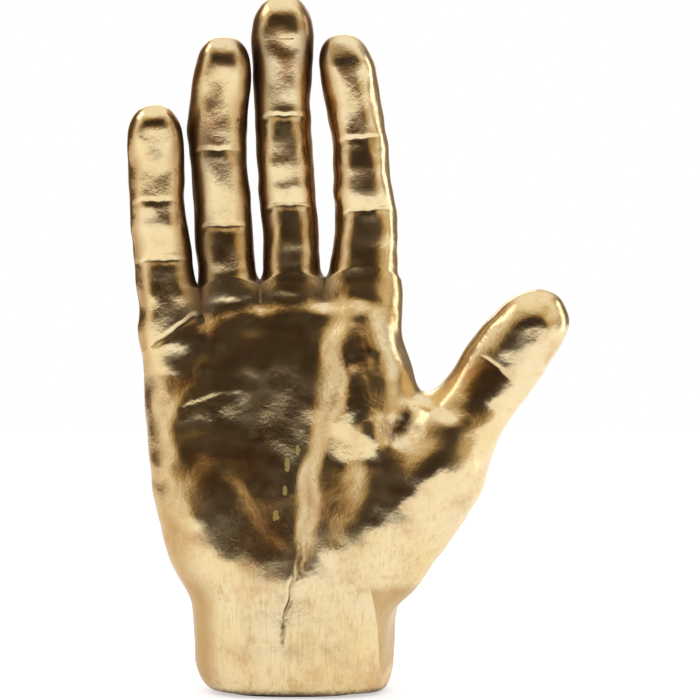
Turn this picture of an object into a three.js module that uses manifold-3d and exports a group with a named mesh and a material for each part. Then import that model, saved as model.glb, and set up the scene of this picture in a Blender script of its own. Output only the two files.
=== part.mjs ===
// A gilded sculpture of an open right hand that stands upright on its cut wrist.
// The palm and wrist are one hollow casting. The five digits are solid castings,
// each set on the palm with a steel pin. A plate closes the wrist over a poured
// ballast, and a felt pad covers the underside.
// Sizes are in millimetres. +X is the thumb's side, +Y the back of the hand, +Z up,
// and the origin is the middle of the felt pad's underside.
import * as THREE from 'three';
import { mergeVertices } from 'three/addons/utils/BufferGeometryUtils.js';
import Module from 'manifold-3d';

// Driving sizes of the fitted pieces
const feltThickness = 1.5;
const feltInset = 3;
const wallThickness = 9;
const ledgeWidth = 3;
const ledgeHeight = 5;
const plateThickness = 6;
const pocketWall = 13;
const pourHoleRadius = 11;
const plugTaper = 0.8;
const plugLength = 5;
const cavityStep = 15;
const ballastSteps = 3;
const cavitySteps = 9;
const fingerPinRadius = 4;
const fingerPinLength = 46;
const thumbPinRadius = 5;
const thumbPinLength = 52;
const glueGap = 0.3;
const pinEndGap = 1;

// The box that cuts each joint face: how wide it is on a finger and on the thumb, how deep
// and how far it reaches, and how far a digit runs on below its joint before the cut
const fingerJointWidth = 400;
const thumbJointWidth = 51;
const jointDepth = 120;
const jointReach = 200;
const jointOverrun = 17;

// Driving sizes of the wrist and palm
const wristHeight = 44;
const wristWidth = 105;
const wristDepth = 68;
const wristTaper = 2;
const frontInset = 2.5;
const rimHeight = 18;
const rimInset = 7.5;
const rimSharper = 3;
const rootBlend = 10;
const thumbBlend = 14;
const webRise = 8;
const fingerParting = 0.2;

// Powers of the ovals that sections follow: the hand, how much rounder its front is above
// the wrist, a digit's back and a digit's tip
const handSquareness = 2.6;
const frontRounding = 0.45;
const roundingStart = 50;
const roundingEnd = 75;
const digitSquareness = 2.1;
const tipSquareness = 2.15;

// The flat on the wrist's thumb side: the direction it faces, and its distance from the middle
const wristFlatAngle = -22;
const wristFlatDistance = 49.8;
const wristFlatTop = 58;

// Driving sizes of the digits: length from the root to the tip, lean of the tip towards the
// thumb's side and towards the front in degrees, and length of the rounded tip
const littleLength = 117.6;
const littleSpread = -2;
const littleLean = 7.9;
const littleTip = 21;
const ringLength = 139.6;
const ringSpread = -1.25;
const ringLean = 7.9;
const ringTip = 22;
const middleLength = 156.4;
const middleSpread = -1.65;
const middleLean = 5.5;
const middleTip = 23;
const indexLength = 137;
const indexSpread = -5.1;
const indexLean = 5;
const indexTip = 22;
const thumbLength = 89.6;
const thumbSpread = 36.6;
const thumbLean = 0;
const thumbTip = 24;

// Places of the digits' roots: depth of each finger's, and the middle of the thumb's joint
const littleDepth = -4;
const ringDepth = 1;
const middleDepth = 2;
const indexDepth = 0;
const thumbRoot = [82.6, -14, 133.8];

// Heights between which the palm's front gains its swellings, and the depths over which
// they fade out towards the back
const reliefStart = 22;
const reliefFull = 62;
const reliefFade = [-2, 12];

// Shares of a step's path over which it rises from nothing at its start and its end
const shelfStart = 0.2;
const shelfEnd = 0.25;

// Knuckles on the back: distance below the finger roots, reach across and up, height
const knuckleDrop = 24;
const knuckleAcross = 8.5;
const knuckleUp = 10;
const knuckleHeight = 3.2;

// Rays that find the surface from inside: their first reach, longest reach, number of
// steps, and share of the field's value taken in a step
const rayStart = 2;
const rayLongest = 60;
const raySteps = 30;
const rayShare = 0.85;

// Mesh fineness, and how far the palm's rings run on above its highest joint before the cut
const rimShares = [0, 0.12, 0.35, 0.65, 1];
const palmSteps = 46;
const palmOverrun = 4;
const digitSides = 24;
const digitStep = 6.5;
const tipAngles = [18, 36, 52, 66, 79];
const pathSamples = 40;
const pinSides = 12;
const plugSides = 24;

// Rays of a level ring: across the front, across the back and round each end
const palmRays = { front: 28, back: 20, end: 14 };
const hollowRays = { front: 10, back: 8, end: 7 };

// The line that the rays of the hollow start from: its two ends and its depth
const hollowCore = [-30, 30, 0];

// Outline of the palm above the wrist: height above the wrist, reach to the little finger's
// side, to the thumb's side, to the front and to the back, and depth where it is widest
const palmOutline = [
  [8, 55, 54, 32.5, 33, -2],
  [18, 59.4, 55, 34.6, 31, -4],
  [28, 63.8, 55.4, 35.4, 30, -6],
  [40, 67.8, 56, 34.4, 29, -7],
  [60, 72.2, 58, 31, 28, -7],
  [77, 74.4, 60, 27.6, 27, -6],
  [104, 75.8, 61.4, 23.4, 25, -4],
  [122, 73.4, 56, 20.5, 22, -3],
  [133, 67, 49.6, 18.4, 19.8, -2],
  [142, 63, 45.6, 16.6, 17.8, -1.5],
  [154, 60.6, 43, 14, 14.5, -1],
  [170, 58, 39, 9.5, 10, 0],
];

// The line that the rays of the palm start from: height, its two ends, and the depth of
// its thumb end
const palmCore = [
  [1.5, -26, 28, 0],
  [44, -26, 28, 0],
  [62, -34, 34, -3],
  [84, -42, 46, -10],
  [100, -47, 57, -14],
  [121, -51, 71, -14],
  [134, -53, 70, -14],
  [148, -53, 54, -13],
  [154, -52, 42, -6],
  [182, -48, 34, 0],
  [214, -44, 30, 0],
];

// Swellings and hollows of the palm's front: middle x and z, half sizes along and across the
// direction it is turned to in degrees from the vertical, how flat its top is, height
const palmSwells = [
  [7, 108, 42, 31, -6, 1, -11],
  [51, 131, 17, 9, 35, 1, -4],
  [-42, 98, 38, 17, -4, 1, 1.5],
  [40, 166, 43, 21, -4, 1.6, 11.5],
];

// Steps of the palm's front: path as x and z, height that the ground on its left rises by,
// width of the rise, and distance over which it fades again
const palmShelves = [
  {
    path: [[54, 197], [34, 199], [0, 199.5], [-32, 196], [-50, 188], [-76, 171]],
    height: 2.2,
    width: 10,
    fade: 42,
  },
  {
    path: [[72, 152], [60, 149.5], [48.2, 148], [39.5, 143.4], [30.8, 135.5], [22, 125.5], [16, 114]],
    height: 3,
    width: 8,
    fade: 12,
  },
  {
    path: [[52, 142], [42, 126], [37, 115], [33, 104], [27, 93], [20, 83], [10, 70]],
    height: 6,
    width: 12,
    fade: 26,
  },
  {
    path: [[-20, 151], [-32, 149], [-48, 143.5], [-64, 137]],
    height: -2.4,
    width: 13,
    fade: 22,
  },
  {
    path: [[14, 158], [10, 144], [8.5, 126], [8, 108], [7, 92], [5, 76], [2, 58], [-1, 42]],
    height: 4,
    width: 9,
    fade: 20,
  },
];

// The line of the finger roots: where neighbouring fingers meet, as x and z
const rootLine = [
  [-81, 175.5],
  [-48.6, 198.2],
  [-17.4, 202.8],
  [16.6, 205],
  [59, 202.5],
];

// Rows of a digit: share of its length, shift of its middle towards the thumb, half width,
// depths of its front and back from the line of its root and tip, and the front's power
const fingers = [
  {
    name: 'little_finger',
    rootDepth: littleDepth,
    length: littleLength,
    spread: littleSpread,
    lean: littleLean,
    tipRound: littleTip,
    rows: [
      [-0.42, 4, 9, 6, 7, 2.2],
      [-0.2, 2.6, 12, 8, 11, 2.2],
      [-0.12, 1.8, 13.6, 10.6, 14, 2.2],
      [0, 0.4, 15.6, 12.8, 14.2, 2.2],
      [0.13, 0.6, 15.6, 12.2, 13, 2.2],
      [0.27, -0.4, 15.3, 11.0, 13.2, 2.2],
      [0.33, -0.9, 15.2, 10.2, 13.6, 2.1],
      [0.4, -1.5, 14.9, 11.2, 13, 2.1],
      [0.5, -2.1, 14.3, 12.6, 11.6, 2.1],
      [0.58, -2.3, 14.1, 13.5, 11.6, 2.1],
      [0.66, -2.2, 14.2, 13.7, 11.2, 2.1],
      [0.77, -1.8, 14.8, 14.6, 10, 2.1],
      [0.86, -1.4, 14.4, 16.6, 8.6, 2.1],
      [0.93, -1.3, 14, 18.6, 7.6, 2.1],
      [1, -1.2, 13.6, 19, 7, 2.1],
    ],
  },
  {
    name: 'ring_finger',
    rootDepth: ringDepth,
    length: ringLength,
    spread: ringSpread,
    lean: ringLean,
    tipRound: ringTip,
    rows: [
      [-0.42, 3, 9, 6, 7, 2.3],
      [-0.2, 1, 12.6, 9, 12.5, 2.3],
      [-0.12, 0.5, 14.4, 12, 15.5, 2.3],
      [0, -0.1, 15.4, 14.4, 16, 2.3],
      [0.17, -1.5, 15.2, 13.2, 14.4, 2.3],
      [0.26, -2.1, 15.1, 12, 14.6, 2.3],
      [0.31, -2.3, 15.1, 11.2, 15, 2.2],
      [0.4, -2.7, 14.8, 12.8, 13.8, 2.1],
      [0.52, -3.4, 14.6, 14.6, 12.4, 2.1],
      [0.58, -4, 14.9, 15.2, 12.6, 2.1],
      [0.68, -3.8, 15.5, 15.8, 12, 2.1],
      [0.77, -1.7, 15.2, 17.2, 10.6, 2.1],
      [0.87, 0.3, 14.5, 19.6, 8.8, 2.1],
      [0.93, 1, 14.2, 21.2, 8, 2.1],
      [1, 1.3, 14, 21.4, 7.4, 2.1],
    ],
  },
  {
    name: 'middle_finger',
    rootDepth: middleDepth,
    length: middleLength,
    spread: middleSpread,
    lean: middleLean,
    tipRound: middleTip,
    rows: [
      [-0.42, -2, 9, 6, 7, 2.2],
      [-0.2, -1, 13, 9.5, 13, 2.2],
      [-0.12, -0.5, 15, 12.5, 16, 2.2],
      [0, 0.3, 16, 15.8, 16.6, 2.2],
      [0.12, 0.1, 14.9, 15.2, 15.4, 2.1],
      [0.24, 0.1, 14.6, 13.8, 15, 2.1],
      [0.31, -0.6, 14.8, 12.6, 15.6, 2.1],
      [0.38, -0.9, 14.8, 14.8, 14.6, 2.1],
      [0.48, -1.4, 14.7, 17, 13, 2.1],
      [0.6, -1.6, 14.5, 16.8, 13, 2.1],
      [0.66, -2, 14.4, 17.2, 12.4, 2.1],
      [0.74, -1.1, 15.2, 19, 11.2, 2.1],
      [0.84, -0.6, 15.9, 22, 9.4, 2.1],
      [0.92, -0.2, 15.9, 24, 8.2, 2.1],
      [1, 0, 15.9, 24.4, 7.4, 2.1],
    ],
  },
  {
    name: 'index_finger',
    rootDepth: indexDepth,
    length: indexLength,
    spread: indexSpread,
    lean: indexLean,
    tipRound: indexTip,
    rows: [
      [-0.42, -4, 12, 7, 8, 2.2],
      [-0.2, -1, 15, 10, 14, 2.2],
      [-0.12, -0.5, 16.4, 13, 16.4, 2.2],
      [0, -0.6, 18.2, 15.4, 16.4, 2.2],
      [0.15, 1.3, 17.5, 14.6, 15.2, 2.2],
      [0.25, 3.3, 16.4, 13.8, 14.8, 2.2],
      [0.33, 4.1, 15.8, 12.6, 15.2, 2.1],
      [0.4, 3.9, 15.2, 14.4, 14, 2.1],
      [0.5, 3.8, 14.7, 15, 13, 2.1],
      [0.6, 4.2, 14.4, 14.4, 13, 2.1],
      [0.7, 3.2, 14.5, 16, 12, 2.1],
      [0.8, 2, 14.4, 18.6, 10.6, 2.1],
      [0.88, 1.2, 14.5, 20.4, 9, 2.1],
      [0.94, 0.3, 14.5, 21.2, 8.2, 2.1],
      [1, -0.5, 14.6, 21.4, 7.6, 2.1],
    ],
  },
];

const thumb = {
  name: 'thumb',
  root: thumbRoot,
  length: thumbLength,
  spread: thumbSpread,
  lean: thumbLean,
  tipRound: thumbTip,
  rows: [
    [-1.07, 0, 28, 15, 16, 1.8],
    [-0.89, -4, 35, 22, 22, 1.7],
    [-0.67, -5, 37, 25, 24, 1.6],
    [-0.45, -1.5, 33, 25, 24, 1.65],
    [-0.26, 1.5, 29.5, 25.4, 23, 1.75],
    [-0.12, 2.5, 26, 24, 21, 1.85],
    [0.01, -0.2, 24.2, 21.4, 18.8, 1.9],
    [0.1, 0.2, 20.6, 18.8, 17.5, 1.95],
    [0.26, 0, 19.2, 16.2, 17, 2],
    [0.42, -0.7, 20.3, 14.6, 17.4, 2.1],
    [0.5, -1.1, 20.2, 15.6, 16.4, 2.1],
    [0.64, -1.3, 19.7, 17.4, 14.4, 2.1],
    [0.78, -0.7, 18.4, 18.2, 13, 2.1],
    [1, -0.2, 17.8, 17.4, 11.4, 2.1],
  ],
};

// Finish of each material
const gilding = { color: 0xe3c585, metalness: 1, roughness: 0.26 };
const steel = { color: 0xb9bcc0, metalness: 1, roughness: 0.35 };
const plaster = { color: 0xd9d3c6, metalness: 0, roughness: 0.95 };
const board = { color: 0x3b2a1c, metalness: 0, roughness: 0.8 };
const rubber = { color: 0x1c1c1d, metalness: 0, roughness: 0.7 };
const felt = { color: 0x23211f, metalness: 0, roughness: 1 };

const wasm = await Module();
wasm.setup();

// Value of a smooth curve through rows of [position, value, value, ...]: a cubic between
// each two rows, whose slope at a row is that between its neighbours.
function smoothRow(rows, at) {
  const last = rows.length - 1;
  if (at <= rows[0][0]) return rows[0].slice(1);
  if (at >= rows[last][0]) return rows[last].slice(1);
  let i = 0;
  while (at > rows[i + 1][0]) i += 1;
  const before = rows[Math.max(i - 1, 0)];
  const after = rows[Math.min(i + 2, last)];
  const [start, end] = [rows[i], rows[i + 1]];
  const span = end[0] - start[0];
  const t = (at - start[0]) / span;
  return start.slice(1).map((value, k) => {
    const startSlope = ((end[k + 1] - before[k + 1]) / (end[0] - before[0])) * span;
    const endSlope = ((after[k + 1] - value) / (after[0] - start[0])) * span;
    return value * (2 * t ** 3 - 3 * t ** 2 + 1) + startSlope * (t ** 3 - 2 * t ** 2 + t)
      + end[k + 1] * (3 * t ** 2 - 2 * t ** 3) + endSlope * (t ** 3 - t ** 2);
  });
}

// Adds a digit's frame: its origin at the root, across to the thumb's side, through to
// the back, and along to the tip.
function withFrame(digit) {
  const [spread, lean] = [digit.spread, digit.lean].map(THREE.MathUtils.degToRad);
  const along = new THREE.Vector3(
    Math.sin(spread) * Math.cos(lean),
    -Math.sin(lean),
    Math.cos(spread) * Math.cos(lean),
  );
  const across = new THREE.Vector3(0, 1, 0).cross(along).normalize();
  const through = along.clone().cross(across);
  const matrix = new THREE.Matrix4().makeBasis(across, through, along).setPosition(...digit.root);
  return { ...digit, matrix, inverse: matrix.clone().invert() };
}

// A finger stands on the middle of its stretch of the root line, square to that line's slope.
function finger(data, index) {
  const [start, end] = [rootLine[index], rootLine[index + 1]];
  return withFrame({
    ...data,
    root: [(start[0] + end[0]) / 2, data.rootDepth, (start[1] + end[1]) / 2],
    slope: (end[1] - start[1]) / (end[0] - start[0]),
    pinRadius: fingerPinRadius,
    pinLength: fingerPinLength,
    jointWidth: fingerJointWidth,
  });
}

const fingerDigits = fingers.map(finger);
const thumbDigit = withFrame({
  ...thumb,
  slope: 0,
  pinRadius: thumbPinRadius,
  pinLength: thumbPinLength,
  jointWidth: thumbJointWidth,
});
const digits = [...fingerDigits, thumbDigit];

// A digit's section at a distance along it: shifts of its middle across and through, half
// width, half depth, and the power of its front.
function digitSection(digit, along) {
  const [shift, width, front, back, power] = smoothRow(digit.rows, along / digit.length);
  return { shift, rise: (back - front) / 2, width, depth: (back + front) / 2, power };
}

// Signed distance, roughly, from a digit's surface: negative inside. The tip is rounded
// over its last stretch, and so is the buried end.
function digitField(digit, point) {
  const local = point.clone().applyMatrix4(digit.inverse);
  const { shift, rise, width, depth, power } = digitSection(digit, local.z);
  const n = local.y < rise ? power : digitSquareness;
  const buried = Math.max(digit.rows[0][0] * digit.length - local.z, 0);
  const past = Math.max(local.z - digit.length + digit.tipRound, 0) + buried;
  const sum = Math.abs((local.x - shift) / width) ** n
    + Math.abs((local.y - rise) / depth) ** n
    + (past / digit.tipRound) ** tipSquareness;
  return (sum ** (1 / n) - 1) * Math.min(width, depth);
}

const palmRows = [
  [feltThickness, wristWidth / 2 - wristTaper, wristWidth / 2, wristDepth / 2 - frontInset, wristDepth / 2, 0],
  [wristHeight, wristWidth / 2, wristWidth / 2 + 1, wristDepth / 2 - frontInset, wristDepth / 2, 0],
  ...palmOutline.map(([above, ...reach]) => [wristHeight + above, ...reach]),
];

// Inset of the wrist's lower edge, which is rounded less on the thumb's side.
function edgeInset(point) {
  const down = THREE.MathUtils.clamp((feltThickness + rimHeight - point.z) / rimHeight, 0, 1);
  const inset = rimInset - rimSharper * THREE.MathUtils.smoothstep(point.x, 0, wristWidth / 2);
  return inset * (1 - Math.sqrt(1 - down ** 2));
}

// A path through points of x and z as many even samples.
function sampledPath(path) {
  const runs = [0];
  for (let i = 1; i < path.length; i += 1) {
    runs.push(runs[i - 1] + Math.hypot(path[i][0] - path[i - 1][0], path[i][1] - path[i - 1][1]));
  }
  const rows = path.map(([x, z], i) => [runs[i] / runs.at(-1), x, z]);
  return Array.from({ length: pathSamples }, (_, i) => (
    new THREE.Vector2(...smoothRow(rows, i / (pathSamples - 1)))));
}

const shelves = palmShelves.map((shelf) => ({ ...shelf, samples: sampledPath(shelf.path) }));

// Height of a step at a place: a smooth rise across its path that fades with the distance
// squared, and towards both ends of the path.
function shelfHeight({ samples, height, width, fade }, x, z) {
  const away = samples.map((sample) => Math.hypot(x - sample.x, z - sample.y));
  const distance = Math.min(...away);
  const nearest = away.indexOf(distance);
  const last = samples.length - 1;
  const along = samples[Math.min(nearest + 1, last)].clone().sub(samples[Math.max(nearest - 1, 0)]);
  const place = new THREE.Vector2(x, z).sub(samples[nearest]);
  const side = Math.sign(along.cross(place)) * distance;
  const share = nearest / last;
  const ends = THREE.MathUtils.smoothstep(share, 0, shelfStart)
    * THREE.MathUtils.smoothstep(1 - share, 0, shelfEnd);
  const rise = THREE.MathUtils.smoothstep(side, -width / 2, width / 2);
  return height * ends * rise * Math.exp(-((Math.max(side, 0) / fade) ** 2));
}

// Height of a swelling at a place: height times e^(-r^2p), where r is the share of its half
// sizes that the place lies out from its middle, and p makes the top flat.
function swellHeight([middleX, middleZ, along, across, turn, flat, height], x, z) {
  const angle = THREE.MathUtils.degToRad(turn);
  const [dx, dz] = [x - middleX, z - middleZ];
  const u = (dx * Math.sin(angle) + dz * Math.cos(angle)) / along;
  const v = (dx * Math.cos(angle) - dz * Math.sin(angle)) / across;
  return height * Math.exp(-((u ** 2 + v ** 2) ** flat));
}

const knuckles = fingerDigits.map((digit) => (
  new THREE.Vector3(0, 0, -knuckleDrop).applyMatrix4(digit.matrix)));

// Height of the swellings of the palm's front, or of the knuckles on its back.
function reliefHeight({ x, y, z }) {
  const front = THREE.MathUtils.smoothstep(-y, ...reliefFade);
  if (front > 0) {
    const shelf = shelves.reduce((sum, step) => sum + shelfHeight(step, x, z), 0);
    const swell = palmSwells.reduce((sum, mound) => sum + swellHeight(mound, x, z), 0);
    return front * (shelf + swell) * THREE.MathUtils.smoothstep(z, reliefStart, reliefFull);
  }
  const back = THREE.MathUtils.smoothstep(y, ...reliefFade);
  return back * knuckles.reduce((sum, knuckle) => (
    sum + knuckleHeight * Math.exp(
      -(((x - knuckle.x) / knuckleAcross) ** 2) - ((z - knuckle.z) / knuckleUp) ** 2)), 0);
}

// The height of the root line at an x.
function rootHeight(x) {
  const next = Math.max(rootLine.findIndex((point) => point[0] > x), 1);
  const index = x > rootLine.at(-1)[0] ? rootLine.length - 1 : next;
  const [[x0, z0], [x1, z1]] = [rootLine[index - 1], rootLine[index]];
  return THREE.MathUtils.lerp(z0, z1, THREE.MathUtils.clamp((x - x0) / (x1 - x0), 0, 1));
}

// The wrist and the flat of the hand: a rounded box whose sides follow the outline, cut by
// the wrist's flat and along the webs, with the palm's swellings added.
function slabField(point) {
  const [left, right, front, back, widest] = smoothRow(palmRows, point.z);
  const ahead = point.y < widest;
  const rounding = frontRounding * THREE.MathUtils.smoothstep(point.z, roundingStart, roundingEnd);
  const n = handSquareness - (ahead ? rounding : 0);
  const middle = (right - left) / 2;
  const width = (left + right) / 2;
  const depth = ahead ? front + widest : back - widest;
  const sum = Math.abs((point.x - middle) / width) ** n + Math.abs((point.y - widest) / depth) ** n;
  const slab = (sum ** (1 / n) - 1) * Math.min(front, back) + edgeInset(point);
  const facing = THREE.MathUtils.degToRad(wristFlatAngle);
  const flat = point.x * Math.cos(facing) + point.y * Math.sin(facing) - wristFlatDistance
    + edgeInset(point) - Math.max(0, point.z - wristFlatTop);
  const web = point.z - rootHeight(point.x) - webRise;
  return Math.max(slab, flat, web) - reliefHeight(point);
}

// Joins two fields with a fillet about as wide as the blend.
function blend(a, b, width) {
  const near = Math.max(width - Math.abs(a - b), 0) / width;
  return Math.min(a, b) - (near ** 2 * width) / 4;
}

// The hand with some of its fingers, and with its thumb or without.
function handField(point, near, withThumb) {
  let field = slabField(point);
  if (near.length > 0) {
    field = blend(field, Math.min(...near.map((digit) => digitField(digit, point))), rootBlend);
  }
  return withThumb ? blend(field, digitField(thumbDigit, point), thumbBlend) : field;
}

// A digit with its part of the web, up to halfway to its neighbours.
function digitSkin(digit, point) {
  if (digit === thumbDigit) return handField(point, [], true);
  const place = fingerDigits.indexOf(digit);
  const near = fingerDigits.slice(Math.max(place - 1, 0), place + 2);
  const others = near.filter((other) => other !== digit);
  const apart = digitField(digit, point) - Math.min(...others.map((other) => digitField(other, point)));
  return Math.max(handField(point, near, false), apart / 2 + fingerParting);
}

// The surface seen from inside: a ray grows by the field's own value until it stands
// where the field is zero.
function surfacePoint(field, origin, direction) {
  let reach = rayStart;
  for (let step = 0; step < raySteps; step += 1) {
    const value = field(origin.clone().addScaledVector(direction, reach));
    reach = THREE.MathUtils.clamp(reach - rayShare * value, 0, rayLongest);
  }
  return origin.clone().addScaledVector(direction, reach);
}

// A ring at one height: its rays go straight ahead and straight back from a core line, and
// fan out round the line's two ends.
function levelRing(field, z, [left, right, depth], rays) {
  const ring = [];
  const cast = (share, angle) => {
    const x = THREE.MathUtils.lerp(left, right, share);
    const origin = new THREE.Vector3(x, depth * THREE.MathUtils.smoothstep(share, 0, 1), z);
    ring.push(surfacePoint(field, origin, new THREE.Vector3(Math.cos(angle), Math.sin(angle), 0)));
  };
  const quarter = Math.PI / 2;
  for (let i = 0; i < rays.end; i += 1) cast(1, -quarter + (Math.PI * i) / rays.end);
  for (let i = 0; i < rays.back; i += 1) cast(1 - i / rays.back, quarter);
  for (let i = 0; i < rays.end; i += 1) cast(0, quarter + (Math.PI * i) / rays.end);
  for (let i = 0; i < rays.front; i += 1) cast(i / rays.front, -quarter);
  return ring;
}

// A closed body through rings of equal length, with a fan at each end.
function loft(rings) {
  const sides = rings[0].length;
  const centre = (ring) => ring.reduce((sum, p) => sum.add(p), new THREE.Vector3()).divideScalar(sides);
  const points = [...rings.flat(), centre(rings[0]), centre(rings.at(-1))];
  const [bottom, top] = [points.length - 2, points.length - 1];
  const faces = [];
  const topRing = (rings.length - 1) * sides;
  for (let i = 0; i < sides; i += 1) {
    const next = (i + 1) % sides;
    faces.push([bottom, next, i], [top, topRing + i, topRing + next]);
    for (let ring = 0; ring < topRing; ring += sides) {
      const [low, lowNext, high, highNext] = [i, next, sides + i, sides + next].map((at) => ring + at);
      faces.push([low, lowNext, highNext], [low, highNext, high]);
    }
  }
  const geometry = new THREE.BufferGeometry().setFromPoints(points);
  geometry.setIndex(faces.flat());
  return geometry;
}

// A geometry as a solid for cutting, and back.
function solid(geometry) {
  const bare = geometry.clone();
  bare.deleteAttribute('normal');
  bare.deleteAttribute('uv');
  const merged = mergeVertices(bare);
  return new wasm.Manifold(new wasm.Mesh({
    numProp: 3,
    vertProperties: new Float32Array(merged.attributes.position.array),
    triVerts: new Uint32Array(merged.index.array),
  }));
}

function geometryOf(body) {
  const mesh = body.getMesh();
  const geometry = new THREE.BufferGeometry();
  geometry.setAttribute('position', new THREE.BufferAttribute(mesh.vertProperties, 3));
  geometry.setIndex(new THREE.BufferAttribute(mesh.triVerts, 1));
  return geometry;
}

// A round bar along +Z between two heights.
function bar(radius, from, to, sides = pinSides) {
  return new THREE.CylinderGeometry(radius, radius, to - from, sides)
    .rotateX(Math.PI / 2).translate(0, 0, (from + to) / 2);
}

// The hole for a digit's pin, which reaches as far to each side of the joint.
function pinHole(digit) {
  const reach = digit.pinLength / 2 + pinEndGap;
  return bar(digit.pinRadius + glueGap, -reach, reach);
}

// Everything beyond a digit's joint face, as a box in that digit's frame.
function beyondJoint(digit, gap) {
  return new THREE.BoxGeometry(digit.jointWidth - 2 * gap, jointDepth, jointReach)
    .translate(0, 0, jointReach / 2 + gap)
    .rotateY(-Math.atan(digit.slope));
}

// A digit in its own frame, cut square at its joint face and drilled for its pin.
function digitGeometry(digit) {
  const body = digit.length - digit.tipRound;
  const steps = Math.round((body + jointOverrun) / digitStep);
  const rows = Array.from({ length: steps + 1 }, (_, i) => (
    [-jointOverrun + ((body + jointOverrun) * i) / steps, 0]));
  tipAngles.forEach((angle) => rows.push([body, THREE.MathUtils.degToRad(angle)]));
  const field = (local) => digitSkin(digit, local.clone().applyMatrix4(digit.matrix));
  const rings = rows.map(([distance, tilt]) => {
    const { shift, rise } = digitSection(digit, distance);
    const origin = new THREE.Vector3(shift, rise, distance);
    return Array.from({ length: digitSides }, (_, i) => {
      const turn = (i / digitSides) * 2 * Math.PI;
      const out = Math.cos(tilt);
      const direction = new THREE.Vector3(out * Math.cos(turn), out * Math.sin(turn), Math.sin(tilt));
      return surfacePoint(field, origin, direction);
    });
  });
  const cut = solid(loft(rings)).intersect(solid(beyondJoint(digit, glueGap)));
  return geometryOf(cut.subtract(solid(pinHole(digit))));
}

// Fine rings near the rim, then even steps up to the finger roots
function palmHeights() {
  const top = Math.max(...rootLine.map(([, z]) => z)) + palmOverrun;
  const rim = rimShares.map((share) => feltThickness + share * rimHeight);
  const step = (top - rim.at(-1)) / palmSteps;
  return [...rim, ...Array.from({ length: palmSteps }, (_, i) => rim.at(-1) + step * (i + 1))];
}

// A ring of the wrist and palm without the rounding of the rim, inset by a level below zero.
function wristRing(z, level) {
  const inset = (point) => {
    const above = new THREE.Vector3(point.x, point.y, Math.max(point.z, feltThickness + rimHeight));
    return slabField(above) - level;
  };
  return levelRing(inset, z, hollowCore, hollowRays);
}

// The hollow above the plate's pocket: the mouth inside the ledge, then steps of the cavity.
function cavityRings(clearance, from, steps) {
  const ledgeTop = feltThickness + plateThickness + ledgeHeight;
  const mouth = pocketWall + ledgeWidth;
  const rows = [[from, mouth], [ledgeTop + clearance, mouth], [ledgeTop + clearance, wallThickness]];
  for (let i = 1; i <= steps; i += 1) rows.push([ledgeTop + cavityStep * i, wallThickness]);
  return rows.map(([z, wall]) => wristRing(z, -wall - clearance));
}

function palmGeometry() {
  const skin = (point) => handField(point, fingerDigits, true);
  const rings = palmHeights().map((z) => levelRing(skin, z, smoothRow(palmCore, z), palmRays));
  let palm = solid(loft(rings));
  digits.forEach((digit) => {
    palm = palm.subtract(solid(beyondJoint(digit, 0).applyMatrix4(digit.matrix)));
    palm = palm.subtract(solid(pinHole(digit).applyMatrix4(digit.matrix)));
  });
  const pocketTop = feltThickness + plateThickness + glueGap;
  const pocket = [0, pocketTop].map((z) => wristRing(z, -pocketWall));
  return geometryOf(palm.subtract(solid(loft(pocket)))
    .subtract(solid(loft(cavityRings(0, pocketTop - 1, cavitySteps)))));
}

const group = new THREE.Group();
function add(name, geometry, finish, parent = group) {
  const mesh = new THREE.Mesh(geometry, new THREE.MeshStandardMaterial(finish));
  mesh.name = name;
  parent.add(mesh);
}

// The plate that closes the wrist, cut to its pocket, with the hole the ballast is poured through.
function plateGeometry() {
  const top = feltThickness + plateThickness;
  const rings = [feltThickness, top].map((z) => wristRing(z, -pocketWall - glueGap));
  return geometryOf(solid(loft(rings)).subtract(solid(bar(pourHoleRadius, 0, top + 1, plugSides))));
}

// The ballast, poured on the plate: it fills the ledge's mouth and keys above it.
function ballastGeometry() {
  return loft(cavityRings(glueGap, feltThickness + plateThickness, ballastSteps));
}

// The tapered rubber plug in the pour hole, flush with the plate's underside.
function plugGeometry() {
  const wide = pourHoleRadius - glueGap;
  return new THREE.LatheGeometry([
    new THREE.Vector2(0, feltThickness),
    new THREE.Vector2(wide, feltThickness),
    new THREE.Vector2(wide - plugTaper, feltThickness + plugLength),
    new THREE.Vector2(0, feltThickness + plugLength),
  ], plugSides).rotateX(Math.PI / 2);
}

// The felt, cut a little inside the casting's flat underside.
function feltGeometry() {
  return loft([0, feltThickness].map((z) => wristRing(z, -rimInset - feltInset)));
}

add('palm_and_wrist', palmGeometry(), gilding);
add('closing_plate', plateGeometry(), board);
add('ballast', ballastGeometry(), plaster);
add('pour_hole_plug', plugGeometry(), rubber);
add('felt_pad', feltGeometry(), felt);

digits.forEach((digit) => {
  const frame = new THREE.Group();
  frame.applyMatrix4(digit.matrix);
  group.add(frame);
  add(digit.name, digitGeometry(digit), gilding, frame);
  add(`${digit.name}_pin`, bar(digit.pinRadius, -digit.pinLength / 2, digit.pinLength / 2), steel, frame);
});

export default group;
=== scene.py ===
from functools import reduce

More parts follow.
